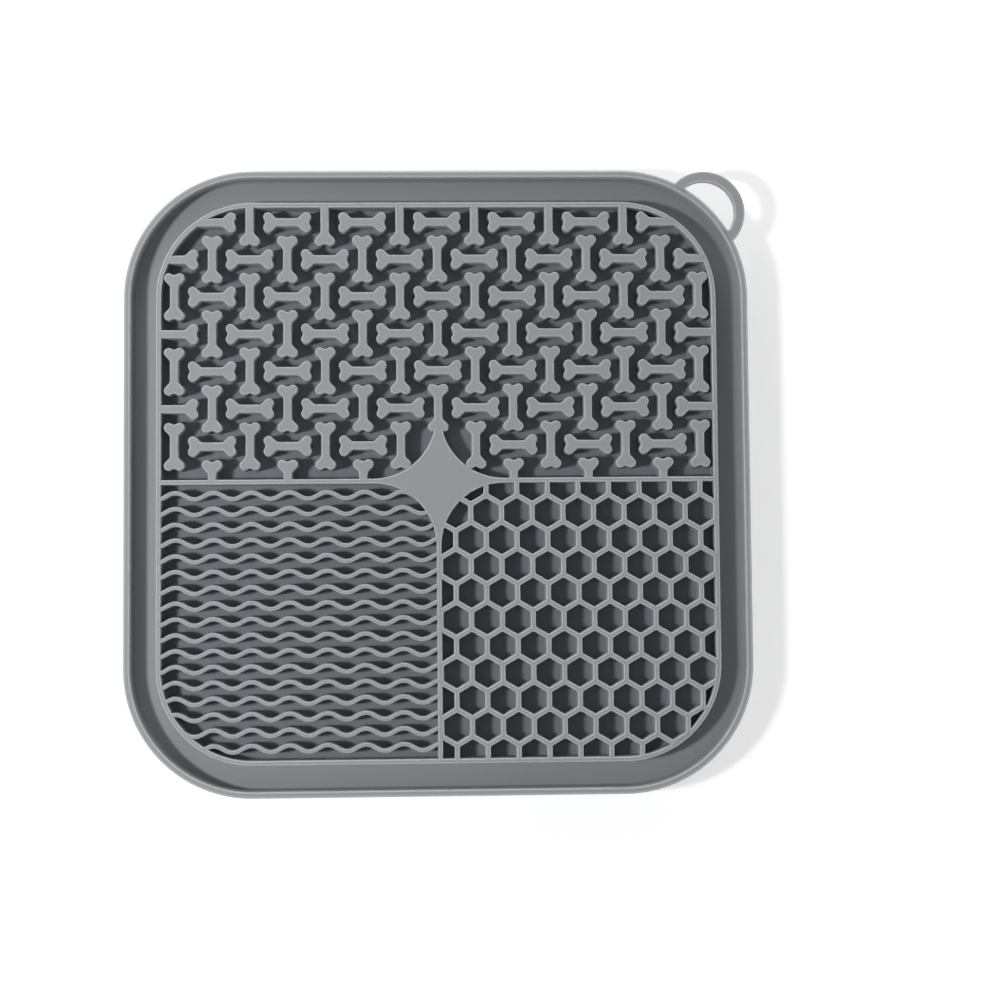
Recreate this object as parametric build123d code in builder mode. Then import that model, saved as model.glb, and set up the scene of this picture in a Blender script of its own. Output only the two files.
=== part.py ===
"""A square silicone lick mat with a hanging loop.

The mat is one sheet with everything else standing on it: a raised lip round the edge, a gutter
inside the lip, and a ridge that bounds the feeding field. Two dividers from the sides and one from
the front meet at a four-pointed star and part the field into three textures: bone-shaped studs
behind, wave ribs at the front left and a honeycomb at the front right. Suction cups are moulded
under the sheet.

Millimetres. X runs to the right, Y to the back, Z up. The origin is in the middle of the mat, on the
surface that the suction cups stand on.
"""

import os
from math import atan2, ceil, cos, degrees, hypot, radians, sin, sqrt, tan

from build123d import *

os.makedirs("parts", exist_ok=True)

# Driving dimensions: the mat
mat_width = 200.0
mat_depth = 200.0
corner_radius = 41.0
sheet_thickness = 2.0
wall_height = 5.0
lip_width = 2.2
gutter_width = 8.0
ridge_width = 1.8
divider_width = 1.76
star_arc_radius = 20.0

# Driving dimensions: the bone studs, on a square lattice
bone_pitch = 12.0
bone_row_offset = -0.6
bone_length = 15.6
bone_head_width = 6.7
bone_shaft_width = 3.06
bone_lobe_radius = 1.7

# Driving dimensions: the wave ribs
wave_rib_pitch = 5.0
wave_rib_width = 1.6
wave_first_rib = 4.4
wave_length = 12.0
wave_flat_length = 2.0
wave_swing = 2.2
wave_crest_at = 0.5

# Driving dimensions: the honeycomb, with an upright wall between neighbours in a row
cell_pitch = 9.8
cell_wall = 1.75
cell_first_x = 10.2
cell_first_y = -18.95

# Driving dimensions: the hanging loop
loop_outer_radius = 13.3
loop_band_width = 3.3
loop_thickness = 2.4
loop_set_in = 2.4
loop_corner_radius = 0.6

# Driving dimensions: the suction cups
cup_height = 3.0
cup_spacing = 124.0
cup_lip_radius = 18.0
cup_lip_width = 2.0
cup_lip_thickness = 0.5
cup_seat_radius = 9.0
cup_hollow_depth = 1.6
cup_hollow_radius = 6.0
cup_sides = 24

# Levels and insets that follow from them
sheet_bottom = cup_height
sheet_top = sheet_bottom + sheet_thickness
wall_top = sheet_top + wall_height
ridge_inset = lip_width + gutter_width
field_inset = ridge_inset + ridge_width
field_half_width = mat_width / 2 - field_inset
field_half_depth = mat_depth / 2 - field_inset
field_radius = corner_radius - field_inset
star_reach = star_arc_radius + divider_width / 2
floor_plane = Plane.XY.offset(sheet_top)


def mat_outline(inset, mode=Mode.ADD):
    """The mat's rounded square, drawn in by inset on every side."""
    RectangleRounded(mat_width - 2 * inset, mat_depth - 2 * inset, corner_radius - inset, mode=mode)


def in_field(x, y):
    """Whether a point lies inside the ridge's rounded inner wall."""
    beyond_x = max(abs(x) - field_half_width + field_radius, 0)
    beyond_y = max(abs(y) - field_half_depth + field_radius, 0)
    return hypot(beyond_x, beyond_y) < field_radius


def in_star(x, y):
    """Whether a point lies on the star's flat top."""
    in_square = max(abs(x), abs(y)) < star_reach
    return in_square and hypot(star_reach - abs(x), star_reach - abs(y)) > star_arc_radius


def finish(part, node):
    """Label a finished piece and write it out."""
    part.label = node
    export_step(part, f"parts/{node}.step")


# The star: four arcs, each tangent to the lines beside it, leave it between them
with BuildSketch() as star_outline:
    Rectangle(2 * star_reach, 2 * star_reach)
    with GridLocations(2 * star_reach, 2 * star_reach, 2, 2):
        Circle(star_arc_radius, mode=Mode.SUBTRACT)

# The open floor of the field: three areas, parted by the star and the dividers
with BuildSketch() as field_floor:
    mat_outline(field_inset)
    Rectangle(2 * field_half_width, divider_width, mode=Mode.SUBTRACT)
    Rectangle(divider_width, field_half_depth, align=(Align.CENTER, Align.MAX), mode=Mode.SUBTRACT)
    add(star_outline.sketch, mode=Mode.SUBTRACT)
areas = field_floor.faces().sort_by(Axis.Y)
bone_area = areas[-1]
wave_area, cell_area = areas[:-1].sort_by(Axis.X)

# The sheet that everything stands on
with BuildPart() as base_sheet:
    with BuildSketch(Plane.XY.offset(sheet_bottom)):
        mat_outline(0)
    extrude(amount=sheet_thickness)
finish(base_sheet.part, "base_sheet")

# The raised lip round the edge
with BuildPart() as outer_lip:
    with BuildSketch(floor_plane):
        mat_outline(0)
        mat_outline(lip_width, mode=Mode.SUBTRACT)
    extrude(amount=wall_height)
finish(outer_lip.part, "outer_lip")

# The ridge between the gutter and the feeding field
with BuildPart() as inner_ridge:
    with BuildSketch(floor_plane):
        mat_outline(ridge_inset)
        mat_outline(field_inset, mode=Mode.SUBTRACT)
    extrude(amount=wall_height)
finish(inner_ridge.part, "inner_ridge")

# The star in the middle, with a square end on each point
with BuildPart() as center_star:
    with BuildSketch(floor_plane):
        add(star_outline.sketch)
    extrude(amount=wall_height)
finish(center_star.part, "center_star")

# The dividers, each from a point of the star to the ridge
for node, turn, reach in (
    ("divider_right", 0, field_half_width),
    ("divider_left", 180, field_half_width),
    ("divider_front", 270, field_half_depth),
):
    with BuildPart() as divider:
        with BuildSketch(floor_plane.rotated((0, 0, turn))):
            with Locations((star_reach, 0)):
                Rectangle(reach - star_reach, divider_width, align=(Align.MIN, Align.CENTER))
        extrude(amount=wall_height)
    finish(divider.part, node)

# Half of an upright bone: half its shaft and a head with six-sided lobes, flared at 45 degrees
lobe_x = bone_head_width / 2 - bone_lobe_radius
lobe_y = bone_length / 2 - bone_lobe_radius
lobe_corner = bone_lobe_radius / cos(radians(30))
lobe_points = [
    (lobe_x + lobe_corner * cos(radians(turn)), lobe_y + lobe_corner * sin(radians(turn)))
    for turn in (-15, 45, 105)
]
flare_run = lobe_points[0][0] - bone_shaft_width / 2
notch_run = lobe_points[-1][0]
with BuildSketch() as half_bone:
    with BuildLine():
        Polyline(
            (0, 0),
            (bone_shaft_width / 2, 0),
            (bone_shaft_width / 2, lobe_points[0][1] - flare_run),
            *lobe_points,
            (0, lobe_points[-1][1] - notch_run),
        )
        mirror(about=Plane.YZ)
    make_face()

# Half of a bone whose end runs into the ridge: the shaft alone, long enough to reach it on both sides
with BuildSketch() as half_shaft:
    Rectangle(bone_shaft_width, bone_length, align=(Align.CENTER, Align.MIN))

# Bones stand upright and across in turn; those on the dividers' line are upright only
columns = ceil(field_half_width / bone_pitch)
rows = ceil(field_half_depth / bone_pitch) + 1
headed_halves = []
plain_halves = []
for row in range(rows):
    for column in range(-columns, columns + 1):
        x = column * bone_pitch
        y = row * bone_pitch + bone_row_offset
        across = (row + column) % 2 == 1
        if in_star(x, y) or not in_field(x, y) or (across and row == 0):
            continue
        for turn in (90, 270) if across else (0, 180):
            end_x = x - sin(radians(turn)) * bone_length / 2
            end_y = y + cos(radians(turn)) * bone_length / 2
            half = Location((x, y, 0), (0, 0, turn))
            if in_field(end_x, end_y):
                headed_halves.append(half)
            else:
                plain_halves.append(half)

# The bone studs, cut short where they meet a wall or the star
with BuildPart() as bone_studs:
    with BuildSketch(floor_plane):
        with Locations(*headed_halves):
            add(half_bone.sketch)
        with Locations(*plain_halves):
            add(half_shaft.sketch)
        add(bone_area, mode=Mode.INTERSECT)
    extrude(amount=wall_height)
finish(bone_studs.part, "bone_studs")

# A wave rib is flat outside each bend and comes to a point inside it, with an even width on the slopes
wave_slope = atan2(wave_swing, (wave_length - wave_flat_length) / 2)
bend_width = wave_rib_width / cos(wave_slope) - tan(wave_slope) * wave_flat_length / 2
bend_reach = (wave_swing + bend_width) / 2
rib_count = ceil((field_half_depth - wave_first_rib) / wave_rib_pitch)
half_waves = ceil(2 * field_half_width / wave_length) + 1


def rib_edge(middle, side):
    """One edge of a rib about the line y = middle, from right to left; side is 1 behind, -1 in front."""
    points = []
    for bend in range(half_waves + 1):
        crest = 1 if bend % 2 == 0 else -1
        x = wave_crest_at - bend * wave_length / 2
        if crest == side:
            y = middle + side * bend_reach
            points += [(x + wave_flat_length / 2, y), (x - wave_flat_length / 2, y)]
        else:
            points.append((x, middle + side * (bend_reach - wave_swing)))
    return points


with BuildPart() as wave_ribs:
    with BuildSketch(floor_plane):
        for rib in range(rib_count):
            middle = -wave_first_rib - rib * wave_rib_pitch
            with BuildLine():
                Polyline(*rib_edge(middle, 1), *reversed(rib_edge(middle, -1)), close=True)
            make_face()
        add(wave_area, mode=Mode.INTERSECT)
    extrude(amount=wall_height)
finish(wave_ribs.part, "wave_ribs")

# The honeycomb: the whole area less its cells, which are cut off by the walls round it
row_pitch = cell_pitch * sqrt(3) / 2
cell_rows = ceil(field_half_depth / row_pitch)
cell_columns = ceil(field_half_width / cell_pitch)
cell_places = []
for row in range(-cell_rows, cell_rows + 1):
    for column in range(-cell_columns, cell_columns + 1):
        x = cell_first_x + (column - row % 2 / 2) * cell_pitch
        y = cell_first_y - row * row_pitch
        if x > -cell_pitch and y < cell_pitch and in_field(x - cell_pitch / 2, y + cell_pitch / 2):
            cell_places.append((x, y))

with BuildPart() as honeycomb:
    with BuildSketch(floor_plane):
        add(cell_area)
        with Locations(*cell_places):
            RegularPolygon(
                (cell_pitch - cell_wall) / 2, 6, major_radius=False, rotation=30, mode=Mode.SUBTRACT
            )
    extrude(amount=wall_height)
finish(honeycomb.part, "honeycomb")

# The hanging loop: a band about a point just inside the back right corner's edge
corner_reach = (corner_radius - loop_set_in) / sqrt(2)
loop_place = (
    mat_width / 2 - corner_radius + corner_reach,
    mat_depth / 2 - corner_radius + corner_reach,
)
with BuildSketch() as loop_opening:
    with Locations(loop_place):
        Circle(loop_outer_radius - loop_band_width)
    mat_outline(0, mode=Mode.SUBTRACT)
    fillet(loop_opening.vertices(), loop_corner_radius)
with BuildPart() as hanging_loop:
    with BuildSketch(Plane.XY.offset(wall_top - loop_thickness)):
        with Locations(loop_place):
            Circle(loop_outer_radius)
        mat_outline(0, mode=Mode.SUBTRACT)
        add(loop_opening.sketch, mode=Mode.SUBTRACT)
    extrude(amount=loop_thickness)
finish(hanging_loop.part, "hanging_loop")

# One suction cup: a bell that flares from its seat to a flat lip, round the hollow that grips
bell_taper = degrees(atan2(cup_lip_radius - cup_seat_radius, cup_height - cup_lip_thickness))
hollow_mouth = cup_lip_radius - cup_lip_width
hollow_taper = degrees(atan2(hollow_mouth - cup_hollow_radius, cup_hollow_depth))
with BuildPart() as one_cup:
    with BuildSketch():
        RegularPolygon(cup_lip_radius, cup_sides)
    extrude(amount=cup_lip_thickness)
    with BuildSketch(Plane.XY.offset(cup_lip_thickness)):
        RegularPolygon(cup_lip_radius, cup_sides)
    extrude(amount=cup_height - cup_lip_thickness, taper=bell_taper)
    with BuildSketch():
        RegularPolygon(hollow_mouth, cup_sides)
    extrude(amount=cup_hollow_depth, taper=hollow_taper, mode=Mode.SUBTRACT)

# The suction cups, one under each quarter of the mat
with BuildPart() as suction_cups:
    with GridLocations(cup_spacing, cup_spacing, 2, 2):
        add(one_cup.part)
finish(suction_cups.part, "suction_cups")
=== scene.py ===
"""Looks of a square silicone lick mat, laid out as a Blender add-on and run as a script.

The mat is moulded in one grey silicone: a sheet with a raised lip, a gutter, a ridge round the feeding
field, dividers that meet at a four-pointed star, and three textures between them: bones, waves and a
honeycomb. A hanging loop stands out at one corner and suction cups are moulded underneath. Every wall is
a rounded section carried along an outline, and every shape is worked out as whole arrays.

Metres. X runs to the right, Y to the back and Z up from the surface that the cups stand on.
"""

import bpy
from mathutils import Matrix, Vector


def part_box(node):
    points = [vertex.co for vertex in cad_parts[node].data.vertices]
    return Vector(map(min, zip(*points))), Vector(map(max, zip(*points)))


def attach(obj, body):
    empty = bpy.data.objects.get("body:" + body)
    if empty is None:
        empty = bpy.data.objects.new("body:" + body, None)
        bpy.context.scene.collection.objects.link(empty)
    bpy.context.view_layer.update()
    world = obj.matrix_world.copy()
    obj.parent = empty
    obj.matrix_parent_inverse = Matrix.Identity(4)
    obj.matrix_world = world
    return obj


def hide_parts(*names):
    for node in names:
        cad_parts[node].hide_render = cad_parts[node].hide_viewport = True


bl_info = {
    "name": "Silicone Lick Mat",
    "version": (1, 0, 0),
    "blender": (4, 5, 0),
    "location": "3D View > Sidebar > Lick Mat",
    "description": "Dresses a square silicone lick mat in its moulded surfaces and sets its stage",
    "category": "Object",
}

import bmesh
import bpy
import numpy as np
from mathutils import Matrix, Vector

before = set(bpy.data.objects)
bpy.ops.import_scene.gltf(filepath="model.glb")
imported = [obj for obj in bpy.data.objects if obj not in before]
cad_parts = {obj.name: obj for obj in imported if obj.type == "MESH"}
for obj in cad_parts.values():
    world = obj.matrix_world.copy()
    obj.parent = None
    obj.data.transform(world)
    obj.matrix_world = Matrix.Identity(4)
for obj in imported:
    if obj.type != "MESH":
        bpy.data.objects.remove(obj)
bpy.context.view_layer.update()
sheet_low, sheet_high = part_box("base_sheet")
wall_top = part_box("outer_lip")[1].z

MM = 0.001
QUARTER = np.pi / 2

# Points along the hollow round at a wall's foot and along the round of its top edge
FOOT_STEPS = 4
EDGE_STEPS = 5
# Where a wall's flat top begins, in radii of its edge
FLAT_START = 1.4
# A wall's rim is 1 at its top edge and 0 on its flat top, and this on its sides: it paints a highlight on
# the edge and shade on the sides
PAINTED_SIDE_SHADE = -0.6
# Faces that turn more than this keep a sharp edge between them
SHARP_TURN = 0.7
# Points closer than this are one point
WELD_GAP = 0.001 * MM
# The least that anything is divided by
TINY = 1e-12
# The four corners, anticlockwise from the back right
CORNERS = np.array([(1, 1), (-1, 1), (-1, -1), (1, -1)])


def size(name, default, description):
    """A length in metres, given in millimetres."""
    return bpy.props.FloatProperty(
        name=name, description=description, default=default * MM, min=0.0, precision=5, unit="LENGTH"
    )


def share(name, default, description):
    """A plain number."""
    return bpy.props.FloatProperty(name=name, description=description, default=default, precision=4)


def colour(name, default, description):
    """A colour in linear light."""
    return bpy.props.FloatVectorProperty(
        name=name, description=description, default=default, min=0.0, max=1.0, subtype="COLOR"
    )


def power(name, default, description):
    """A lamp's output in watts."""
    return bpy.props.FloatProperty(
        name=name, description=description, default=default, min=0.0, unit="POWER"
    )


def group(name, kind):
    """A group of properties, described by its docstring."""
    return bpy.props.PointerProperty(name=name, description=kind.__doc__, type=kind)


def place(name, default, description):
    """A point in metres, given in millimetres."""
    metres = [part * MM for part in default]
    return bpy.props.FloatVectorProperty(
        name=name, description=description, default=metres, precision=5, subtype="TRANSLATION", unit="LENGTH"
    )


class LICKMAT_PG_walls(bpy.types.PropertyGroup):
    """The sheet and the walls that bound the field."""

    width: size("Width", (sheet_high.x - sheet_low.x) / MM, "The mat from side to side")
    depth: size("Depth", (sheet_high.y - sheet_low.y) / MM, "The mat from front to back")
    corner_radius: size("Corner radius", 41, "Round of the mat's corners in plan")
    underside: size("Underside", sheet_low.z / MM, "Level of the sheet's lower face")
    floor: size("Floor", sheet_high.z / MM, "Level of the sheet's upper face")
    top: size("Wall top", wall_top / MM, "Level of the ribs' flat tops, the highest of all")
    lip_width: size("Lip width", 2.2, "Width of the lip round the edge")
    gutter_width: size("Gutter width", 8, "Floor between the lip and the ridge")
    ridge_width: size("Ridge width", 1.8, "Width of the ridge round the field")
    divider_width: size("Divider width", 1.76, "Width of the walls that part the field")
    star_radius: size("Star arc radius", 20, "Radius of the star's four hollow sides")
    edge: size("Edge round", 0.36, "Round along the top edges of the walls")
    outer_edge: size("Outer edge round", 0.6, "Round along the outside of the lip and the sheet")
    gutter_round: size("Gutter round", 0.6, "Hollow round where the gutter meets its walls")
    foot_round: size("Foot round", 0.25, "Hollow round where a rib meets the floor")
    draft: size("Draft", 0.13, "How far the sides of these walls lean in")
    overlap: size("Overlap", 0.5, "How far a rib reaches into the wall that it meets")
    step: size("Step", 0.01, "How much higher a rib's top is than that of the wall that it meets")


class LICKMAT_PG_bones(bpy.types.PropertyGroup):
    """The bone studs."""

    pitch: size("Pitch", 12, "Lattice on which the bones stand")
    row_offset: size("Row offset", 0.6, "How far the first row lies in front of the middle")
    length: size("Length", 15.6, "One bone from end to end")
    head_width: size("Head width", 6.85, "Width across the two lobes of an end")
    shaft_width: size("Shaft width", 2.94, "Width of the straight part")
    lobe_radius: size("Lobe radius", 1.7, "Round of each lobe")
    notch_radius: size("Notch radius", 1.2, "Round at the bottom of the notch between two lobes")
    neck_radius: size("Neck radius", 1, "Round where the shaft opens towards the lobes")
    edge: size("Edge round", 0.5, "Round along a bone's top edge")
    draft: size("Draft", 0.15, "How far a bone's sides lean in")
    # How strong the painted highlight on a bone's rim is
    painted_rim_highlight: share("Crown", 0.4, "How pale a bone's rim is, where a wall's is 1")


class LICKMAT_PG_waves(bpy.types.PropertyGroup):
    """The wave ribs."""

    pitch: size("Pitch", 5, "From one rib to the next")
    width: size("Width", 1.6, "Width of a rib")
    first: size("First rib", 4.4, "Middle of the first rib, in front of the mat's middle")
    length: size("Wave length", 12, "From crest to crest")
    swing: size("Swing", 1.03, "How far a rib swings to each side of its middle")
    crest: size("Crest", 0.5, "Where a crest lies, to the right of the mat's middle")
    edge: size("Edge round", 0.4, "Round along a rib's top edges")
    draft: size("Draft", 0.13, "How far a rib's sides lean in")
    # How strong the painted highlight on a rib's rim is
    painted_rim_highlight: share("Crown", 0.3, "How pale a rib's rim is, where a wall's is 1")
    third: share("Third", 0.02, "Share of a wave a third as long, which rounds the crests")


class LICKMAT_PG_cells(bpy.types.PropertyGroup):
    """The honeycomb."""

    pitch: size("Pitch", 9.8, "From one cell to the next in a row")
    wall: size("Wall", 1.75, "Width of the walls between cells")
    corner: size("Corner round", 0.4, "Round in the corners of a cell")
    draft: size("Draft", 0.07, "How far the sides of the walls lean in")
    first_x: size("First cell, across", 10.2, "Middle of the first cell, right of the mat's middle")
    first_y: size("First cell, forward", 18.95, "Middle of the first cell, in front of the mat's middle")


class LICKMAT_PG_loop(bpy.types.PropertyGroup):
    """The hanging loop."""

    radius: size("Outer radius", 13.3, "Outside of the band")
    band: size("Band width", 3.3, "Width of the band in plan")
    thickness: size("Thickness", 2.4, "Height of the band, under the wall tops")
    set_in: size("Set in", 2.4, "How far the loop's middle lies inside the corner's edge")
    corner: size("Opening corner", 0.6, "Round in the two corners of the opening")
    edge: size("Edge round", 0.45, "Round along the band's edges")
    root: size("Root", 0.6, "How far the band reaches into the lip")


class LICKMAT_PG_cups(bpy.types.PropertyGroup):
    """The suction cups under the sheet."""

    spacing: size("Spacing", 124, "From one cup's middle to the next")
    radius: size("Lip radius", 18, "Outside of a cup's lip")
    lip: size("Lip width", 2, "Flat part of the lip that grips the floor")
    rim: size("Lip thickness", 0.5, "Thickness of the lip at its edge")
    seat: size("Seat radius", 9, "Where a cup joins the sheet")
    hollow: size("Hollow radius", 6, "Flat roof of the hollow")
    hollow_depth: size("Hollow depth", 1.6, "Depth of the hollow")
    bell: share("Bell", 1.4, "Power by which a cup's outside rises from its lip")


class LICKMAT_PG_finish(bpy.types.PropertyGroup):
    """The silicone."""

    silicone: colour("Silicone", (0.287, 0.302, 0.315), "Colour of the walls, the ribs and the cups")
    # Paler than the walls: painted light that lifts the gutter's floor
    sheet: colour("Sheet", (0.344, 0.362, 0.378), "Colour of the gutter and the underside")
    # Darker than the walls: painted shade on the floor between the ribs
    field: colour("Field", (0.229, 0.244, 0.27), "Colour of the floor inside the ridge")
    # Scales the painted highlight on rounded edges and the painted shade on wall sides
    painted_rim_shading: share("Painted rim shading", 0.33, "How much paler the rounded edges are")
    cloud: share("Cloud", 0.07, "How much the colour drifts over the mat")
    lint: share("Lint", 0.12, "How pale the specks of dust are")
    roughness: share("Roughness", 0.56, "Roughness of the moulded faces, from 0 to 1")
    field_roughness: share("Field roughness", 0.64, "Roughness of the duller floor inside the ridge")
    cup_roughness: share("Cup roughness", 0.36, "Roughness of the polished cups")


class LICKMAT_PG_stage(bpy.types.PropertyGroup):
    """The floor, the light and the camera."""

    floor_colour: colour("Floor", (0.8, 0.8, 0.8), "Colour of the surface under the mat")
    floor_reach: size("Floor reach", 3000, "From the mat's middle to the floor's sides")
    floor_lift: share("Floor lift", 0.42, "White that the floor gains near the mat, from 0 to 1")
    lift_start: size("Lift start", 350, "Where the floor begins to gain more white")
    lift_end: size("Lift end", 1200, "Where the floor is all white")
    lamp_place: place("Lamp", (-608, -95, 541), "Where the lamp stands")
    lamp_size: size("Lamp size", 95, "Side of the square lamp")
    lamp_power: power("Lamp power", 4.0, "Output of the lamp")
    panel_place: place("Panel", (-160, 480, 125), "Where the soft panel behind the mat stands")
    panel_size: size("Panel size", 300, "Side of the square panel")
    panel_power: power("Panel power", 1.25, "Output of the panel")
    side_light: share("Side light", 5, "Strength of the soft light from low down all round")
    side_lean: bpy.props.FloatVectorProperty(
        name="Side lean",
        description="How much more of that light comes from the right and from the back",
        default=(0.35, 0.1, 0),
    )
    top_light: share("Top light", 0.15, "Strength of the soft light from overhead")
    side_height: share("Side height", 0.1, "Rise of the direction at which the side light begins to fall")
    top_height: share("Top height", 0.4, "Rise of the direction at which only the top light is left")
    camera_place: place("Camera", (5.82, -29.15, 487.77), "Where the camera stands")
    camera_aim: place("Aim", (19.51, -6.38, 10), "The point in the middle of the picture")
    camera_roll: bpy.props.FloatProperty(
        name="Camera roll",
        description="Turn of the camera about its own line of sight",
        default=0.0093,
        unit="ROTATION",
    )
    lens: share("Lens", 54, "Focal length in millimetres")
    sensor: share("Sensor", 36, "Width of the camera's sensor in millimetres")


class LICKMAT_PG_mat(bpy.types.PropertyGroup):
    """Everything that can be set."""

    walls: group("Walls", LICKMAT_PG_walls)
    bones: group("Bones", LICKMAT_PG_bones)
    waves: group("Waves", LICKMAT_PG_waves)
    cells: group("Cells", LICKMAT_PG_cells)
    loop: group("Loop", LICKMAT_PG_loop)
    cups: group("Cups", LICKMAT_PG_cups)
    finish: group("Finish", LICKMAT_PG_finish)
    stage: group("Stage", LICKMAT_PG_stage)


def arc_run(arcs, inset, steps):
    """Points along arcs that follow one another, drawn in by each inset: an array of inset, point and xy.

    An arc is a centre x and y, a radius, and a first and a last angle. Its reach is the radius less the
    inset. A hollow has a negative radius, so its reach grows instead.
    """
    x, y, radius, first, last = (np.array(part, float)[:, None] for part in zip(*arcs))
    turn = first + (last - first) * np.linspace(0, 1, steps)
    reach = np.abs(radius - np.asarray(inset, float)[:, None, None])
    points = np.stack([x + reach * np.cos(turn), y + reach * np.sin(turn)], -1)
    return points.reshape(len(inset), -1, 2)


def shoulder(height, edge, foot, draft=0.0, painted_rim_highlight=1.0):
    """Half of a wall's section, from its foot to the start of its flat top: inset, level and rim.

    A hollow quarter round of the foot's radius, a side that leans in by the draft, and a bulging quarter
    round of the edge's radius. The rim, which paints shade on the side and a highlight on the edge, goes as
    the sine of the turn round that edge, from below 0 on the side to its highest at the top, and is 0 on the
    flat.
    """
    low = np.linspace(-QUARTER, 0, FOOT_STEPS if foot else 1)
    high = np.linspace(0, QUARTER, EDGE_STEPS)
    inset = np.r_[foot * (np.cos(low) - 1), draft + edge * (1 - np.cos(high)), draft + FLAT_START * edge]
    level = np.r_[foot * (1 + np.sin(low)), height - edge * (1 - np.sin(high)), height]
    # Painted shade on the sides, rising to a painted highlight round the top edge
    rim = np.r_[0 * low + PAINTED_SIDE_SHADE, (painted_rim_highlight - PAINTED_SIDE_SHADE) * np.sin(high) + PAINTED_SIDE_SHADE, 0]
    return inset, level, rim


def lifted(points, level):
    """Points in plan with a level for each row of them: xyz."""
    height = np.broadcast_to(np.asarray(level)[:, None, None], points.shape[:-1] + (1,))
    return np.concatenate([points, height], -1)


def quads(index, close_rows=False):
    """Four-sided faces between rows of point numbers. A row closes on itself, and the rows may close too."""
    if close_rows:
        index = np.concatenate([index, index[..., :1, :]], -2)
    index = np.concatenate([index, index[..., :1]], -1)
    near, far = index[..., :-1, :], index[..., 1:, :]
    corners = [near[..., :-1], near[..., 1:], far[..., 1:], far[..., :-1]]
    return np.stack(corners, -1).reshape(-1, 4)


def numbered(grid):
    """The number of every point in a grid of xyz."""
    return np.arange(grid.size // 3).reshape(grid.shape[:-1])


def capped(grid):
    """Faces of closed bodies: rows that close on themselves, with a flat face on the first and the last."""
    index = numbered(grid)
    around = index.shape[-1]
    first = index[..., 0, ::-1].reshape(-1, around)
    last = index[..., -1, :].reshape(-1, around)
    return [quads(index), first, last]


def mat_path(walls, inset):
    """The mat's rounded square, drawn in by each inset, anticlockwise from the right side."""
    radius = walls.corner_radius
    corners = CORNERS * (walls.width / 2 - radius, walls.depth / 2 - radius)
    arcs = [(*at, radius, turn * QUARTER, (turn + 1) * QUARTER) for turn, at in enumerate(corners)]
    return arc_run(arcs, inset, steps=33)


def field_inset(walls):
    """From the mat's edge to the ridge's inner wall."""
    return walls.lip_width + walls.gutter_width + walls.ridge_width


def ridge_room(walls, points):
    """How far points in plan are inside the ridge: a corner's radius less the way to its centre.

    Along its straight sides that is the way to the side.
    """
    x = np.maximum(np.abs(points[..., 0]) - walls.width / 2 + walls.corner_radius, 0)
    y = np.maximum(np.abs(points[..., 1]) - walls.depth / 2 + walls.corner_radius, 0)
    return walls.corner_radius - field_inset(walls) - np.hypot(x, y)


def star_reach(walls):
    """From the mat's middle to the centres of the star's hollow sides, across and along."""
    return walls.star_radius + walls.divider_width / 2


def room(walls, points):
    """How far points in plan are from the nearest wall of the field, below 0 inside a wall.

    By the star and the dividers it is the star's radius less the way to the centre of its hollow side.
    No divider stands behind the star.
    """
    across, along = np.abs(points[..., 0]), np.abs(points[..., 1])
    reach = star_reach(walls)
    star = walls.star_radius - np.hypot(np.maximum(reach - across, 0), np.maximum(reach - along, 0))
    star = np.where(points[..., 1] > reach, walls.star_radius, star)
    return np.minimum(ridge_room(walls, points), star)


def seated(walls, points, front):
    """Points pulled straight back to the walls of their area, and into these by the overlap.

    The area is the one at the front right, or the two at the back, which are folded into one. A point past
    a rounded corner, or on the star, moves along the line to the centre of that round until it is on it.
    """
    x, y = points[..., 0], points[..., 1]
    x, y = (x, -y) if front else (np.abs(x), y)
    radius = walls.corner_radius - field_inset(walls) + walls.overlap
    limit_x = walls.width / 2 - walls.corner_radius
    limit_y = walls.depth / 2 - walls.corner_radius
    x, y = np.minimum(x, limit_x + radius), np.minimum(y, limit_y + radius)
    out_x, out_y = np.maximum(x - limit_x, 0), np.maximum(y - limit_y, 0)
    pull = 1 - np.minimum(1, radius / np.maximum(np.hypot(out_x, out_y), MM))
    x, y = x - out_x * pull, y - out_y * pull
    reach = star_reach(walls)
    in_x = np.maximum(reach - x, 0) * (1 if front else y < reach)
    in_y = np.maximum(reach - y, 0)
    radius = walls.star_radius + walls.overlap
    pull = 1 - np.minimum(1, radius / np.maximum(np.hypot(in_x, in_y), MM))
    x, y = x + in_x * pull, y + in_y * pull
    x, y = (x, -y) if front else (np.copysign(x, points[..., 0]), y)
    return np.stack([x, y], -1)


def trimmed(points, seats, clear):
    """Closed outlines cut off by a wall. Every run of points past it moves to its seats on the wall.

    A run begins and ends where the way to the wall, clear, is 0 between two points, and seats before or
    after those two places move to them.
    """
    count = points.shape[-2]
    inside = np.concatenate([clear, clear], -1) > 0
    number = np.arange(2 * count)
    before = np.maximum.accumulate(np.where(inside, number, -1), -1)[..., count:]
    after = np.where(inside, number, 2 * count)[..., ::-1]
    after = np.minimum.accumulate(after, -1)[..., ::-1][..., :count]

    def crossing(near, far):
        """Where the wall is between a point inside and the next one past it."""
        near, far = near % count, far % count
        way = np.take_along_axis(clear, near, -1)
        rest = np.take_along_axis(clear, far, -1)
        start = np.take_along_axis(points, near[..., None], -2)
        end = np.take_along_axis(points, far[..., None], -2)
        return start + (end - start) * (way / np.maximum(way - rest, TINY))[..., None]

    first, last = crossing(before, before + 1), crossing(after, after - 1)
    line = last - first
    square = np.maximum((line**2).sum(-1, keepdims=True), TINY)
    part = ((seats - first) * line).sum(-1, keepdims=True) / square
    run = np.where(part < 0, first, np.where(part > 1, last, seats))
    return np.where(clear[..., None] > 0, points, run)


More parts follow.
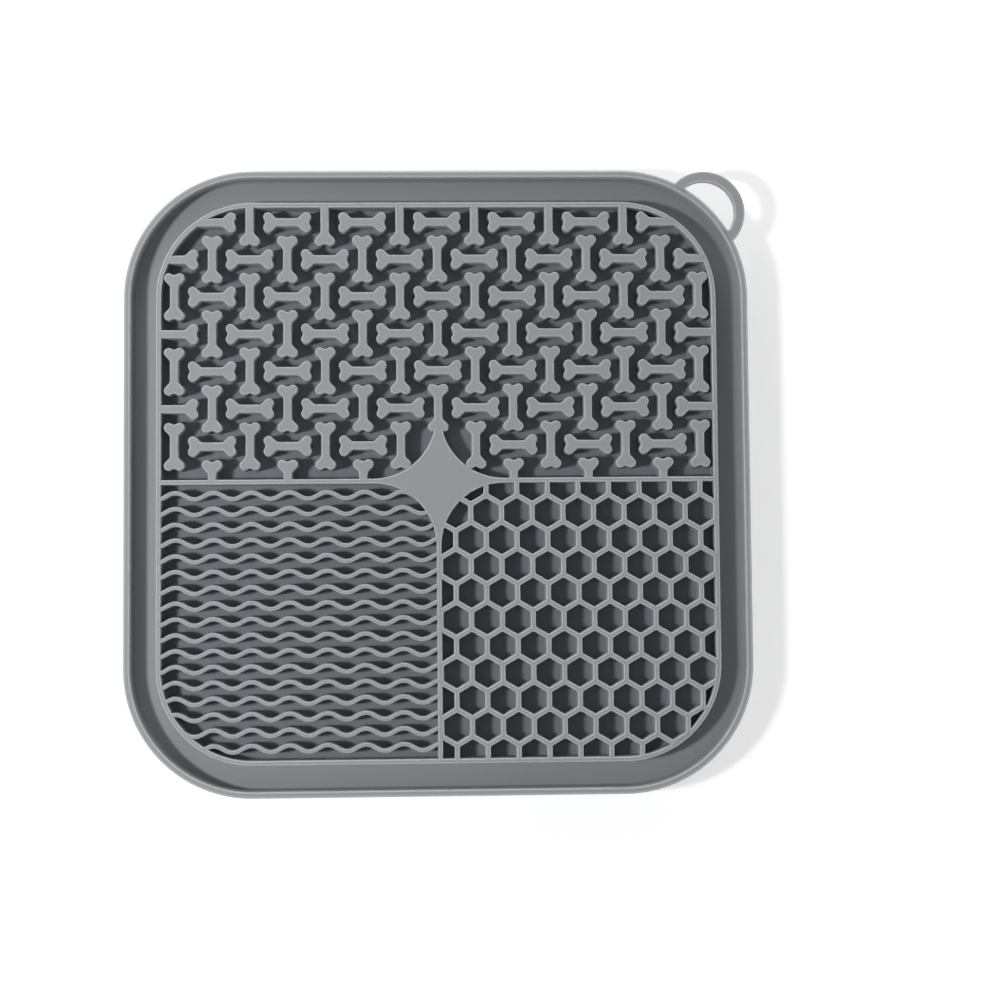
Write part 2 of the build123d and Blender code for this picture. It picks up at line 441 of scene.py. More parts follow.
def new_mesh(name, points, faces, rim):
    """A mesh from points, arrays of faces with one count of corners each, and each point's painted rim
    shading.
    """
    mesh = bpy.data.meshes.new(name)
    corners = np.concatenate([part.ravel() for part in faces])
    counts = np.concatenate([np.full(len(part), part.shape[-1]) for part in faces])
    mesh.vertices.add(points.size // 3)
    mesh.vertices.foreach_set("co", points.astype(np.float32).ravel())
    mesh.loops.add(len(corners))
    mesh.loops.foreach_set("vertex_index", corners.astype(np.int32))
    mesh.polygons.add(len(counts))
    mesh.polygons.foreach_set("loop_start", (np.cumsum(counts) - counts).astype(np.int32))
    # The rim attribute: painted highlight on edges and painted shade on wall sides
    edge = mesh.attributes.new("rim", "FLOAT", "POINT")
    edge.data.foreach_set("value", np.broadcast_to(rim, points.shape[:-1]).astype(np.float32).ravel())
    mesh.update(calc_edges=True)
    if mesh.validate(verbose=False):
        raise RuntimeError(f"{name} has a face that Blender had to mend")
    return mesh


def weld(mesh):
    """Join points that coincide, drop faces that closed up, and close what is left open inside a wall."""
    work = bmesh.new()
    work.from_mesh(mesh)
    bmesh.ops.remove_doubles(work, verts=work.verts, dist=WELD_GAP)
    bmesh.ops.dissolve_degenerate(work, edges=work.edges, dist=WELD_GAP)
    bmesh.ops.holes_fill(work, edges=[edge for edge in work.edges if edge.is_boundary], sides=0)
    bmesh.ops.delete(work, geom=[edge for edge in work.edges if edge.is_wire], context="EDGES")
    work.to_mesh(mesh)
    work.free()


def add_piece(mesh, material, *nodes):
    """Show a mesh in place of the nodes it stands for, smooth but for its corners."""
    mesh.shade_smooth()
    mesh.set_sharp_from_angle(angle=SHARP_TURN)
    mesh.materials.append(material)
    piece = bpy.data.objects.new(mesh.name, mesh)
    bpy.context.scene.collection.objects.link(piece)
    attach(piece, "root")
    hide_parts(*nodes)


def fill(node, values):
    """Set the inputs of a node by their names."""
    for name, value in values.items():
        node.inputs[name].default_value = value


def sum_of(tree, kind, *values, clamp=False):
    """A value worked out by a Math node from numbers and from what other nodes put out."""
    node = tree.nodes.new("ShaderNodeMath")
    node.operation = kind
    node.use_clamp = clamp
    for socket, value in zip(node.inputs, values):
        if isinstance(value, (int, float)):
            socket.default_value = value
        else:
            tree.links.new(value, socket)
    return node.outputs["Value"]


def silicone_group():
    """The silicone: slow colour drift, painted rim highlights and side shade, dust specks, gloss and fine
    grain.
    """
    tree = bpy.data.node_groups.get("moulded_silicone")
    if tree:
        return tree
    tree = bpy.data.node_groups.new("moulded_silicone", "ShaderNodeTree")
    for side, kind, names in (
        ("INPUT", "NodeSocketVector", ("Place",)),
        ("INPUT", "NodeSocketColor", ("Colour",)),
        ("INPUT", "NodeSocketFloat", ("Rim", "Painted rim shading", "Cloud", "Lint", "Roughness")),
        ("OUTPUT", "NodeSocketColor", ("Colour",)),
        ("OUTPUT", "NodeSocketFloat", ("Roughness", "Height")),
    ):
        for name in names:
            tree.interface.new_socket(name, in_out=side, socket_type=kind)
    nodes, links = tree.nodes, tree.links
    given = nodes.new("NodeGroupInput").outputs
    result = nodes.new("NodeGroupOutput").inputs

    def noise(scale, detail):
        """Soft noise over the mat, from 0 to 1."""
        node = nodes.new("ShaderNodeTexNoise")
        fill(node, {"Scale": scale, "Detail": detail})
        links.new(given["Place"], node.inputs["Vector"])
        return node.outputs["Fac"]

    middle, patch_share = 0.5, 0.6
    drift = sum_of(tree, "SUBTRACT", noise(scale=45, detail=4), middle)
    patch = sum_of(tree, "SUBTRACT", noise(scale=420, detail=3), middle)
    drift = sum_of(tree, "MULTIPLY_ADD", patch, patch_share, drift)
    shade = sum_of(tree, "MULTIPLY_ADD", drift, given["Cloud"], 1.0)
    # Painted highlight on rims and painted shade on the sides of walls, from the rim attribute
    lift = sum_of(tree, "MULTIPLY_ADD", given["Rim"], given["Painted rim shading"], 1.0)
    shade = sum_of(tree, "MULTIPLY", shade, lift)

    specks = nodes.new("ShaderNodeTexVoronoi")
    specks.inputs["Scale"].default_value = 330
    links.new(given["Place"], specks.inputs["Vector"])
    parts = nodes.new("ShaderNodeSeparateColor")
    links.new(specks.outputs["Color"], parts.inputs["Color"])
    rarity, largest = 5.0, 0.075
    spread = sum_of(tree, "POWER", parts.outputs["Red"], rarity)
    spread = sum_of(tree, "MULTIPLY", spread, largest)
    speck = sum_of(tree, "LESS_THAN", specks.outputs["Distance"], spread)
    shade = sum_of(tree, "MULTIPLY_ADD", speck, given["Lint"], shade)

    tint = nodes.new("ShaderNodeVectorMath")
    tint.operation = "SCALE"
    links.new(given["Colour"], tint.inputs[0])
    links.new(shade, tint.inputs["Scale"])
    links.new(tint.outputs["Vector"], result["Colour"])

    patch_gloss, speck_gloss, peel_share = 0.16, 0.2, 1.5
    gloss = sum_of(tree, "MULTIPLY_ADD", patch, patch_gloss, given["Roughness"])
    links.new(sum_of(tree, "MULTIPLY_ADD", speck, speck_gloss, gloss, clamp=True), result["Roughness"])
    grain = noise(scale=6500, detail=2)
    peel = noise(scale=900, detail=2)
    links.new(sum_of(tree, "MULTIPLY_ADD", peel, peel_share, grain), result["Height"])
    return tree


def silicone(finish, name, tint, roughness):
    """The mat's silicone in a part's colour and roughness; the sheet's and field's colours paint light and
    shade.
    """
    material = bpy.data.materials.get(name)
    if material:
        return material
    material = bpy.data.materials.new(name)
    material.use_nodes = True
    nodes, links = material.node_tree.nodes, material.node_tree.links
    skin = nodes["Principled BSDF"]
    surface = nodes.new("ShaderNodeGroup")
    surface.node_tree = silicone_group()
    spot = nodes.new("ShaderNodeTexCoord")
    # The rim attribute paints highlights on edges and shade on the sides of walls
    rim = nodes.new("ShaderNodeAttribute")
    rim.attribute_name = "rim"
    links.new(spot.outputs["Object"], surface.inputs["Place"])
    links.new(rim.outputs["Fac"], surface.inputs["Rim"])
    fill(surface, {"Colour": (*tint, 1), "Roughness": roughness})
    fill(surface, {"Painted rim shading": finish.painted_rim_shading, "Cloud": finish.cloud, "Lint": finish.lint})
    links.new(surface.outputs["Colour"], skin.inputs["Base Color"])
    links.new(surface.outputs["Roughness"], skin.inputs["Roughness"])
    bump = nodes.new("ShaderNodeBump")
    fill(bump, {"Strength": 0.25, "Distance": 0.02 * MM})
    links.new(surface.outputs["Height"], bump.inputs["Height"])
    links.new(bump.outputs["Normal"], skin.inputs["Normal"])
    fill(skin, {"IOR": 1.42, "Specular IOR Level": 0.15, "Sheen Weight": 0.12, "Sheen Roughness": 0.5})
    return material


def wall_silicone(finish):
    """The finish of the walls and ribs."""
    return silicone(finish, "silicone_walls", finish.silicone, finish.roughness)


def make_sheet(mat):
    """The sheet: the mat's outline from a rounded lower edge straight up to the floor.

    The sheet's paler colour is painted light in the gutter. The floor inside the ridge is a face of its own,
    rougher, and darker with painted shade between the ribs.
    """
    walls, finish = mat.walls, mat.finish
    inset, level, rim = shoulder(walls.floor - walls.underside, walls.outer_edge, 0)
    inset = np.r_[inset[::-1], field_inset(walls) - walls.ridge_width / 2]
    rings = lifted(mat_path(walls, inset), np.r_[walls.floor - level[::-1], walls.floor])
    mesh = new_mesh("moulded_sheet", rings, capped(rings), np.r_[rim[::-1], 0][:, None])
    # The sheet's paler colour is painted light that lifts the gutter
    add_piece(mesh, silicone(finish, "silicone_sheet_painted_light", finish.sheet, finish.roughness), "base_sheet")
    # The field's darker colour is painted shade on the floor between the ribs
    mesh.materials.append(silicone(finish, "silicone_field_painted_shade", finish.field, finish.field_roughness))
    mesh.polygons[-1].material_index = 1


def make_lip_and_ridge(mat):
    """The lip and the ridge: a section with two rounded shoulders, carried round the mat's outline."""
    walls = mat.walls
    height = walls.top - walls.floor - 2 * walls.step
    outer = shoulder(height, walls.outer_edge, 0)
    gutter = shoulder(height, walls.edge, walls.gutter_round, walls.draft)
    field = shoulder(height, walls.edge, walls.foot_round, walls.draft)
    ridge = walls.lip_width + walls.gutter_width
    for name, node, start, first, end, last in (
        ("raised_lip", "outer_lip", 0, outer, walls.lip_width, gutter),
        ("field_ridge", "inner_ridge", ridge, gutter, ridge + walls.ridge_width, field),
    ):
        inset = np.r_[start + first[0], end - last[0][::-1]]
        level = np.r_[first[1], last[1][::-1]]
        rim = np.r_[first[2], last[2][::-1]]
        grid = lifted(mat_path(walls, inset), walls.floor + level)
        mesh = new_mesh(name, grid, [quads(numbered(grid), close_rows=True)], rim[:, None])
        add_piece(mesh, wall_silicone(mat.finish), node)


def rib_section(width, half):
    """A wall's whole section, from its left foot over the top to its right foot."""
    inset, level, rim = half
    across = width / 2 - inset
    return np.r_[across, -across[::-1]], np.r_[level, level[::-1]], np.r_[rim, rim[::-1]]


def make_star_and_dividers(mat):
    """The star: four hollow arcs with a shoulder inside them. The dividers: a section carried outwards."""
    walls = mat.walls
    half = shoulder(walls.top - walls.floor - walls.step, walls.edge, walls.foot_round, walls.draft)
    reach = star_reach(walls)
    arcs = [
        (*at, -walls.star_radius, (turn - 1) * QUARTER, (turn - 2) * QUARTER)
        for turn, at in enumerate(CORNERS * reach)
    ]
    rings = lifted(arc_run(arcs, half[0], steps=25), walls.floor + half[1])
    mesh = new_mesh("star_plateau", rings, capped(rings), half[2][:, None])
    add_piece(mesh, wall_silicone(mat.finish), "center_star")

    across, level, rim = rib_section(walls.divider_width, half)
    for name, node, turn, side in (
        ("right_divider", "divider_right", 0, walls.width),
        ("left_divider", "divider_left", 2, walls.width),
        ("front_divider", "divider_front", 3, walls.depth),
    ):
        far = side / 2 - field_inset(walls) + walls.overlap
        along = np.linspace(reach, far, 2)[:, None] + 0 * across
        grid = np.stack([along, across + 0 * along, walls.floor + level + 0 * along], -1)
        grid = grid @ np.array(Matrix.Rotation(turn * QUARTER, 3, "Z")).T
        mesh = new_mesh(name, grid, capped(grid), rim)
        add_piece(mesh, wall_silicone(mat.finish), node)


def half_bones(bones, inset):
    """The back half of an upright bone and of a plain shaft, drawn in by each inset, anticlockwise.

    A quarter of the bone is a hollow arc at the neck, a line at 45 degrees, the lobe's arc, and half of the
    notch's hollow arc. A quarter of the shaft is its straight side and half of its far end.
    """
    lobe, neck, notch = bones.lobe_radius, bones.neck_radius, bones.notch_radius
    lobe_x, lobe_y = bones.head_width / 2 - lobe, bones.length / 2 - lobe
    neck_x = bones.shaft_width / 2 + neck
    neck_y = neck_x - lobe_x + lobe_y - (lobe + neck) / np.cos(QUARTER / 2)
    notch_y = lobe_y + np.sqrt((lobe + notch) ** 2 - lobe_x**2)
    turn = np.arctan2(notch_y - lobe_y, -lobe_x)
    quarter = np.concatenate(
        [
            arc_run([(neck_x, neck_y, -neck, 2 * QUARTER, 1.5 * QUARTER)], inset, steps=3),
            arc_run([(lobe_x, lobe_y, lobe, -QUARTER / 2, turn)], inset, steps=9),
            arc_run([(0, notch_y, -notch, turn - 2 * QUARTER, -QUARTER)], inset, steps=3),
        ],
        1,
    )
    way = np.linspace(0, 2, quarter.shape[1])
    side = (bones.shaft_width / 2 - inset)[:, None] * np.minimum(2 - way, 1)
    shaft = np.stack([side, bones.length * np.minimum(way, 1) + 0 * side], -1)
    quarters = np.stack([quarter, shaft])
    return np.concatenate([quarters, quarters[..., -2::-1, :] * (-1, 1)], -2)


def make_bones(mat):
    """The bones: one outline on every second place of the lattice upright, and across on the others.

    A half whose end would be past the ridge has no lobes: its shaft runs into the ridge. On the dividers'
    line only upright bones stand, where there is room behind the divider. None stands on the star.
    """
    walls, bones = mat.walls, mat.bones
    height = walls.top - walls.floor
    inset, level, rim = shoulder(height, bones.edge, walls.foot_round, bones.draft, bones.painted_rim_highlight)
    headed, plain = half_bones(bones, inset)
    columns = int(np.ceil(walls.width / 2 / bones.pitch))
    column, row = np.meshgrid(np.arange(-columns, columns + 1), np.arange(columns + 1))
    places = np.stack([column * bones.pitch, row * bones.pitch - bones.row_offset], -1)
    reach = star_reach(walls)
    on_divider = row == 0
    behind = 3 * bones.lobe_radius * on_divider[..., None] * (0, 1)
    kept = room(walls, places + behind) > 0
    from_star = np.abs(np.where(on_divider[..., None], (1, 0), 1) * places).max(-1)
    kept &= (from_star >= reach) | (room(walls, places) > 0)
    turned = (row + column) % 2 == 1
    kept &= ~(turned & on_divider)
    places, turned = places[kept][:, None], turned[kept][:, None]
    ends = bones.length / 2 * np.where(turned[..., None], (-1, 0), (0, 1)) * np.array([[1], [-1]])
    past = ridge_room(walls, places + ends) < 0
    halves = np.where(past[..., None, None, None], plain, headed)
    outline = np.concatenate([halves[:, 0], -halves[:, 1]], -2)
    outline = np.where(turned[..., None, None], outline[..., ::-1] * (-1, 1), outline)
    points = places[:, None] + outline
    seats = seated(walls, points, front=False)
    back = points[..., 1]
    clear = np.where(back > 0, room(walls, points), back - walls.divider_width / 2)
    points = trimmed(points, seats, clear + walls.overlap)
    rings = lifted(points, walls.floor + level)
    mesh = new_mesh("bones", rings, capped(rings), rim[:, None])
    weld(mesh)
    add_piece(mesh, wall_silicone(mat.finish), "bone_studs")


def wave_points(waves, middle, along, across):
    """Points of a wave rib: a cosine about its middle line, moved out square to it.

    A cosine of three times the turn is taken off, which rounds the crests.
    """
    turn = 4 * QUARTER * (along - waves.crest) / waves.length
    rise = waves.swing * (np.cos(turn) - waves.third * np.cos(3 * turn))
    bend = np.sin(turn) - 3 * waves.third * np.sin(3 * turn)
    slope = -4 * QUARTER * waves.swing / waves.length * bend
    stretch = np.sqrt(1 + slope**2)
    x, y = along - across * slope / stretch, middle + rise + across / stretch
    return np.stack(np.broadcast_arrays(x, y), -1)


def make_waves(mat):
    """The wave ribs: a section carried along each wave, every line of it as far as the walls let it go."""
    walls, waves = mat.walls, mat.waves
    height = walls.top - walls.floor
    half = shoulder(height, waves.edge, walls.foot_round, waves.draft, waves.painted_rim_highlight)
    across, level, rim = rib_section(waves.width, half)
    depth = walls.depth / 2 - field_inset(walls)
    middle = -np.arange(waves.first, depth - waves.width, waves.pitch)[:, None, None]
    tries, steps = 1900, 125
    along = np.linspace(field_inset(walls) / 2 - walls.width / 2, 0, tries)[:, None]
    points = wave_points(waves, middle, along, across)
    inside = (room(walls, points) > -walls.overlap) & (points < 0).all(-1)
    first = along[inside.argmax(1), 0][:, None]
    last = along[-1 - inside[:, ::-1].argmax(1), 0][:, None]
    run = first + (last - first) * np.linspace(0, 1, steps)[:, None]
    points = wave_points(waves, middle, run, across)
    grid = np.concatenate([points, np.broadcast_to(walls.floor + level, run.shape)[..., None]], -1)
    mesh = new_mesh("waves", grid, capped(grid), rim)
    add_piece(mesh, wall_silicone(mat.finish), "wave_ribs")


def make_honeycomb(mat):
    """The honeycomb: a bar on every side of the cells, which meets its neighbours on lines between them.

    Near a junction the bar's sides follow the round in the cells' corners, and its middle runs to the
    junction itself. A bar that meets a wall stops in it, each line of its section where that line meets it.
    Two upright half faces close each end, and are left out where those of two bars meet.
    """
    walls, cells = mat.walls, mat.cells
    inset, level, rim = shoulder(walls.top - walls.floor, walls.edge, walls.foot_round, cells.draft)
    length = cells.pitch / np.sqrt(3)
    begin = (cells.wall / 2 + cells.corner) / np.sqrt(3)
    turn = np.linspace(QUARTER / 3, 0, 2)[:, None]
    along = begin - (cells.corner + inset) * np.sin(turn)
    across = cells.wall / 2 + cells.corner - (cells.corner + inset) * np.cos(turn)
    middle = begin * np.linspace(0, 1, 2)[:, None]
    along = np.hstack([along, middle, along[:, ::-1], middle])
    across = np.hstack([across, 0 * middle, -across[:, ::-1], 0 * middle])
    along = np.vstack([along, length - along[::-1]])
    across = np.vstack([across, across[::-1]])
    level = walls.floor + np.r_[level, level[-1], level[::-1], 0]
    rim = np.r_[rim, 0, rim[::-1], 0]

    # The cells begin well to the left of the first whole one and behind it
    rows = int(np.ceil(walls.depth / cells.pitch))
    column, row = np.meshgrid(np.arange(-2, rows), np.arange(-3, rows))
    x = cells.first_x + (column - row % 2 / 2) * cells.pitch
    y = -cells.first_y - row * cells.pitch * np.sqrt(3) / 2
    centres = np.stack([x, y], -1).reshape(-1, 1, 2)
    corner = QUARTER / 3 * np.array([-1, 1, 3])
    start = centres + length * np.stack([np.cos(corner), np.sin(corner)], -1)
    heading = np.stack([np.cos(corner + 4 * QUARTER / 3), np.sin(corner + 4 * QUARTER / 3)], -1)
    start = start.reshape(-1, 1, 1, 2)
    heading = np.broadcast_to(heading, (len(centres), 3, 2)).reshape(-1, 1, 1, 2)
    left = np.stack([-heading[..., 1], heading[..., 0]], -1)

    tries, least_shown, same_place = 240, 0.05 * MM, 0.01 * MM
    run = np.linspace(0, length, tries)[:, None, None]
    lines = start + run * heading + across[1][:, None] * left
    open_floor = np.where((lines[..., 0] > 0) & (lines[..., 1] < 0), room(walls, lines), -1)
    kept = (open_floor > least_shown).any((1, 2))
    inside = open_floor[kept] > -walls.overlap
    some = inside.any(1)
    first = np.where(some, run[inside.argmax(1), 0, 0], 0)[:, None]
    last = np.where(some, run[-1 - inside[:, ::-1].argmax(1), 0, 0], length)[:, None]
    cut_first = (first.max(-1) > begin)[..., None]
    cut_last = (last.min(-1) < length - begin)[..., None]
    across = np.where(np.concatenate([cut_first, cut_last], 1).repeat(2, 1), across[1], across)
    head, tail = np.split(np.clip(along, first, last), 2, 1)
    halfway = np.array([[0], [0.5]])
    head = np.where(cut_first, first + (tail[:, :1] - first) * halfway, head)
    tail = np.where(cut_last, last + (head[:, -1:] - last) * halfway[::-1], tail)
    reach = np.concatenate([head, tail], 1)[..., None]
    points = start[kept] + reach * heading[kept] + across[..., None] * left[kept]
    points = seated(walls, points, front=True)
    grid = np.concatenate([points, np.broadcast_to(level, points.shape[:-1])[..., None]], -1)
    index = numbered(grid)
    half = len(inset) + 1
    left_half = np.concatenate([index[..., :half], index[..., -1:]], -1)
    halves = np.stack([left_half, index[..., half - 1 :]], -2)
    ends = np.concatenate([halves[:, 0, :, ::-1], halves[:, -1]]).reshape(-1, half + 1)
    middles = np.round(grid.reshape(-1, 3)[ends].mean(1) / same_place)
    _, twin, count = np.unique(middles, axis=0, return_inverse=True, return_counts=True)
    ends = ends[count[twin.ravel()] == 1]
    mesh = new_mesh("honeycomb_walls", grid, [quads(index), ends], rim)
    weld(mesh)
    add_piece(mesh, wall_silicone(mat.finish), "honeycomb")


def make_loop(mat):
    """The hanging loop: a band between two arcs about one centre, with rounds in the opening's corners.

    The outer arc runs into the lip. Each corner's round touches the opening's arc and the mat's edge.
    """
    walls, loop = mat.walls, mat.loop
    edge = walls.corner_radius
    corner = np.array([walls.width, walls.depth]) / 2 - edge
    away = edge - loop.set_in
    centre = corner + away / np.sqrt(2)
    inner = loop.radius - loop.band

    def turn_at(near, far):
        """Angle from the diagonal to a point at these distances from the loop's and the corner's centre."""
        return np.arccos((far**2 - away**2 - near**2) / (2 * away * near))

    diagonal = QUARTER / 2
    swing = turn_at(loop.radius, edge - loop.root)
    bend = turn_at(inner - loop.corner, edge + loop.corner)
    spot = centre + (inner - loop.corner) * np.array([np.cos(diagonal + bend), np.sin(diagonal + bend)])
    back = np.arctan2(*(corner - spot)[::-1]) + 4 * QUARTER
    inset, level, rim = shoulder(loop.thickness / 2, loop.edge, 0)
    inset, rim = np.r_[inset[::-1], inset[1:]], np.r_[rim[::-1], rim[1:]]
    level = walls.top - loop.thickness / 2 + np.r_[-level[::-1], level[1:]]
    left, right = tuple(spot), tuple(spot[::-1])
    root = -loop.corner - loop.root
    outline = np.concatenate(
        [
            arc_run([(*centre, loop.radius, diagonal - swing, diagonal + swing)], inset, steps=49),
            arc_run([(*left, root, back, back)], inset, steps=1),
            arc_run([(*left, -loop.corner, back, diagonal + bend)], inset, steps=6),
            arc_run([(*centre, -inner, diagonal + bend, diagonal - bend)], inset, steps=41)[:, 1:-1],
            arc_run([(*right, -loop.corner, diagonal - bend, QUARTER - back)], inset, steps=6),
            arc_run([(*right, root, QUARTER - back, QUARTER - back)], inset, steps=1),
        ],
        1,
    )
    rings = lifted(outline, level)
    mesh = new_mesh("loop_band", rings, capped(rings), rim[:, None])
    add_piece(mesh, wall_silicone(mat.finish), "hanging_loop")


def make_cups(mat):
    """The suction cups: a profile turned about each cup's middle, from its hollow to its lip and its seat.

    The hollow falls as a squared cosine. The bell rises from the lip's round edge as a power of the way.
    """
    walls, cups = mat.walls, mat.cups
    mouth = cups.radius - cups.lip
    fall = np.linspace(0, 1, num=9)
    nose = np.linspace(-QUARTER, QUARTER, num=7)
    climb = np.linspace(0, 1, num=12)[1:]
    radius = np.r_[
        cups.hollow + (mouth - cups.hollow) * fall,
        cups.radius - cups.rim / 2 * (1 - np.cos(nose)),
        cups.radius - cups.rim / 2 - (cups.radius - cups.rim / 2 - cups.seat) * climb,
    ]
    level = np.r_[
        cups.hollow_depth * np.cos(QUARTER * fall) ** 2,
        cups.rim / 2 * (1 + np.sin(nose)),
        cups.rim + (walls.underside - cups.rim) * climb**cups.bell,
    ]
    # The rim paints a highlight on the round edge of each cup's lip
    rim = np.r_[0 * fall, np.cos(nose), 0 * climb]
    turn = np.linspace(0, 4 * QUARTER, num=72, endpoint=False)
    ring = radius[:, None, None] * np.stack([np.cos(turn), np.sin(turn)], -1)
    places = cups.spacing / 2 * CORNERS
    grid = lifted(places[:, None, None, :] + ring, level)
    mesh = new_mesh("grip_cups", grid, capped(grid), rim[:, None])
    finish = mat.finish
    polished = silicone(finish, "silicone_cups", finish.silicone, finish.cup_roughness)
    add_piece(mesh, polished, "suction_cups")


def background_rays(tree):
    """1 for rays from the camera, in reflections and through clear things, which show the background."""
    path = tree.nodes.new("ShaderNodeLightPath").outputs
    rays = sum_of(tree, "MAXIMUM", path["Is Camera Ray"], path["Is Glossy Ray"])
    return sum_of(tree, "MAXIMUM", rays, path["Is Transmission Ray"])


def smooth_change(tree, value, start, end, low, high):
    """A value that goes from low to high along an S as another one goes from start to end."""
    change = tree.nodes.new("ShaderNodeMapRange")
    change.interpolation_type = "SMOOTHSTEP"
    fill(change, {"From Min": start, "From Max": end, "To Min": low, "To Max": high})
    tree.links.new(value, change.inputs["Value"])
    return change.outputs["Result"]


def make_floor(stage):
    """A wide pale floor that keeps the mat's shadow and is white to the camera where it is lit.

    What the camera sees gains more and more white with the way from the mat, so the floor ends in white.
    """
    mesh = bpy.data.meshes.new("studio_floor")
    corners = lifted(stage.floor_reach * CORNERS[:, None], np.zeros(4))
    mesh.from_pydata(corners.reshape(-1, 3).tolist(), [], [(0, 1, 2, 3)])
    floor = bpy.data.objects.new("studio_floor", mesh)
    bpy.context.scene.collection.objects.link(floor)
    material = bpy.data.materials.new("studio_floor")
    material.use_nodes = True
    tree = material.node_tree
    paper = tree.nodes["Principled BSDF"]
    fill(paper, {"Base Color": (*stage.floor_colour, 1), "Emission Color": (1, 1, 1, 1)})
    fill(paper, {"Roughness": 0.9, "Specular IOR Level": 0.1})
    spot = tree.nodes.new("ShaderNodeTexCoord")
    away = tree.nodes.new("ShaderNodeVectorMath")
    away.operation = "LENGTH"
    tree.links.new(spot.outputs["Object"], away.inputs[0])
    way = stage.lift_start, stage.lift_end
    lift = smooth_change(tree, away.outputs["Value"], *way, stage.floor_lift, 1.0)
    seen = sum_of(tree, "MULTIPLY", background_rays(tree), lift)
    tree.links.new(seen, paper.inputs["Emission Strength"])
    mesh.materials.append(material)


def make_light(stage):
    """A small lamp at the left, a soft panel behind, and a room of pale walls under a dark ceiling.

    The room is white to the camera. Its light falls from the walls' strength to the ceiling's as its
    direction rises, and falls likewise below the horizon. The lean along its direction then adds a share
    of it, or takes one off.
    """
    for name, spot, side, output in (
        ("lamp", stage.lamp_place, stage.lamp_size, stage.lamp_power),
        ("panel", stage.panel_place, stage.panel_size, stage.panel_power),
    ):
        lamp = bpy.data.lights.new(name, "AREA")
        lamp.size = side
        lamp.energy = output
        stand = bpy.data.objects.new(name, lamp)
        stand.location = spot
        stand.rotation_mode = "QUATERNION"
        stand.rotation_quaternion = (-Vector(spot)).to_track_quat("-Z", "Y")
        bpy.context.scene.collection.objects.link(stand)
    world = bpy.data.worlds.new("studio")
    world.use_nodes = True
    tree = world.node_tree
    nodes, links = tree.nodes, tree.links
    sky = nodes["Background"]
    fill(sky, {"Color": (1, 1, 1, 1)})
    spot = nodes.new("ShaderNodeTexCoord")
    parts = nodes.new("ShaderNodeSeparateXYZ")
    links.new(spot.outputs["Generated"], parts.inputs["Vector"])
    height = sum_of(tree, "ABSOLUTE", parts.outputs["Z"])
    rise, light = (stage.side_height, stage.top_height), (stage.side_light, stage.top_light)
    fall = smooth_change(tree, height, *rise, *light)
    lean = nodes.new("ShaderNodeVectorMath")
    lean.operation = "DOT_PRODUCT"
    lean.inputs[1].default_value = stage.side_lean
    links.new(spot.outputs["Generated"], lean.inputs[0])
    uneven = sum_of(tree, "MULTIPLY_ADD", lean.outputs["Value"], fall, fall)
    seen = nodes.new("ShaderNodeMapRange")
    fill(seen, {"To Max": 1.0})
    links.new(background_rays(tree), seen.inputs["Value"])
    links.new(uneven, seen.inputs["To Min"])
    links.new(seen.outputs["Result"], sky.inputs["Strength"])
    bpy.context.scene.world = world


def make_camera(stage):
    """A camera almost straight above, at its place, aimed at its point and rolled a little."""
    lens = bpy.data.cameras.new("camera")
    lens.lens = stage.lens
    lens.sensor_width = stage.sensor
    lens.clip_start, lens.clip_end = 0.01, 20
    camera = bpy.data.objects.new("camera", lens)
    back = (Vector(stage.camera_place) - Vector(stage.camera_aim)).normalized()
    right = Vector((0, 1, 0)).cross(back).normalized()
    axes = Matrix((right, back.cross(right), back)).transposed()
    turned = axes @ Matrix.Rotation(-stage.camera_roll, 3, "Z")
    camera.matrix_world = Matrix.Translation(stage.camera_place) @ turned.to_4x4()
    bpy.context.scene.collection.objects.link(camera)
    bpy.context.scene.camera = camera


class LICKMAT_OT_sheet(bpy.types.Operator):
    """Make the sheet that everything stands on"""

    bl_idname = "lick_mat.sheet"
    bl_label = "Sheet"

    def execute(self, context):
        make_sheet(context.scene.lick_mat)
        return {"FINISHED"}


class LICKMAT_OT_lip_and_ridge(bpy.types.Operator):
    """Make the lip round the edge and the ridge round the field"""

    bl_idname = "lick_mat.lip_and_ridge"
    bl_label = "Lip and Ridge"

    def execute(self, context):
        make_lip_and_ridge(context.scene.lick_mat)
        return {"FINISHED"}


class LICKMAT_OT_star_and_dividers(bpy.types.Operator):
    """Make the star and the walls that part the field"""

    bl_idname = "lick_mat.star_and_dividers"
    bl_label = "Star and Dividers"

    def execute(self, context):
        make_star_and_dividers(context.scene.lick_mat)
        return {"FINISHED"}


class LICKMAT_OT_bones(bpy.types.Operator):
    """Make the bone studs"""

    bl_idname = "lick_mat.bones"
    bl_label = "Bones"

    def execute(self, context):
        make_bones(context.scene.lick_mat)
        return {"FINISHED"}


class LICKMAT_OT_waves(bpy.types.Operator):
    """Make the wave ribs"""

    bl_idname = "lick_mat.waves"
    bl_label = "Waves"

    def execute(self, context):
        make_waves(context.scene.lick_mat)
        return {"FINISHED"}


class LICKMAT_OT_honeycomb(bpy.types.Operator):
    """Make the honeycomb"""

    bl_idname = "lick_mat.honeycomb"
    bl_label = "Honeycomb"

    def execute(self, context):
        make_honeycomb(context.scene.lick_mat)
        return {"FINISHED"}


class LICKMAT_OT_loop(bpy.types.Operator):
    """Make the hanging loop"""

    bl_idname = "lick_mat.loop"
    bl_label = "Hanging Loop"

    def execute(self, context):
        make_loop(context.scene.lick_mat)
        return {"FINISHED"}


class LICKMAT_OT_cups(bpy.types.Operator):
    """Make the suction cups"""

    bl_idname = "lick_mat.cups"
    bl_label = "Suction Cups"

    def execute(self, context):
        make_cups(context.scene.lick_mat)
        return {"FINISHED"}


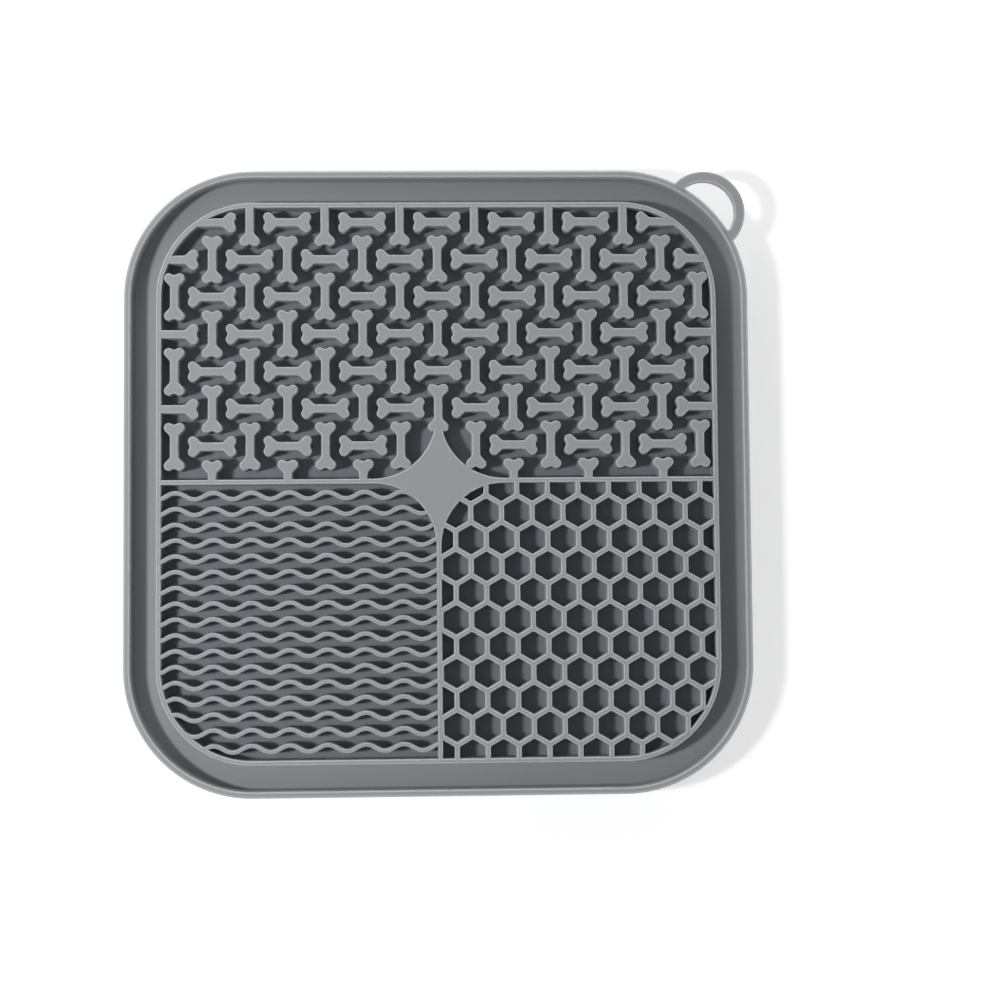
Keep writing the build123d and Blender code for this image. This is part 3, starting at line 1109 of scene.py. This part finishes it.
class LICKMAT_OT_stage(bpy.types.Operator):
    """Set the floor, the light and the camera"""

    bl_idname = "lick_mat.stage"
    bl_label = "Stage"

    def execute(self, context):
        stage = context.scene.lick_mat.stage
        make_floor(stage)
        make_light(stage)
        make_camera(stage)
        context.scene.view_settings.view_transform = "Standard"
        return {"FINISHED"}


OPERATORS = (
    LICKMAT_OT_sheet,
    LICKMAT_OT_lip_and_ridge,
    LICKMAT_OT_star_and_dividers,
    LICKMAT_OT_bones,
    LICKMAT_OT_waves,
    LICKMAT_OT_honeycomb,
    LICKMAT_OT_loop,
    LICKMAT_OT_cups,
    LICKMAT_OT_stage,
)


class LICKMAT_PT_mat(bpy.types.Panel):
    """The mat's pieces and their sizes"""

    bl_idname = "LICKMAT_PT_mat"
    bl_label = "Lick Mat"
    bl_space_type = "VIEW_3D"
    bl_region_type = "UI"
    bl_category = "Lick Mat"

    def draw(self, context):
        mat = context.scene.lick_mat
        for operator in OPERATORS:
            self.layout.operator(operator.bl_idname)
        for part in mat.__annotations__:
            values = getattr(mat, part)
            box = self.layout.box()
            box.label(text=part.capitalize())
            for field in values.__annotations__:
                box.prop(values, field)


CLASSES = (
    LICKMAT_PG_walls,
    LICKMAT_PG_bones,
    LICKMAT_PG_waves,
    LICKMAT_PG_cells,
    LICKMAT_PG_loop,
    LICKMAT_PG_cups,
    LICKMAT_PG_finish,
    LICKMAT_PG_stage,
    LICKMAT_PG_mat,
    *OPERATORS,
    LICKMAT_PT_mat,
)


def register():
    for item in CLASSES:
        bpy.utils.register_class(item)
    bpy.types.Scene.lick_mat = group("Lick Mat", LICKMAT_PG_mat)


def unregister():
    del bpy.types.Scene.lick_mat
    for item in reversed(CLASSES):
        bpy.utils.unregister_class(item)


def main():
    register()
    bpy.ops.lick_mat.sheet()
    bpy.ops.lick_mat.lip_and_ridge()
    bpy.ops.lick_mat.star_and_dividers()
    bpy.ops.lick_mat.bones()
    bpy.ops.lick_mat.waves()
    bpy.ops.lick_mat.honeycomb()
    bpy.ops.lick_mat.loop()
    bpy.ops.lick_mat.cups()
    bpy.ops.lick_mat.stage()


if __name__ == "__main__":
    main()
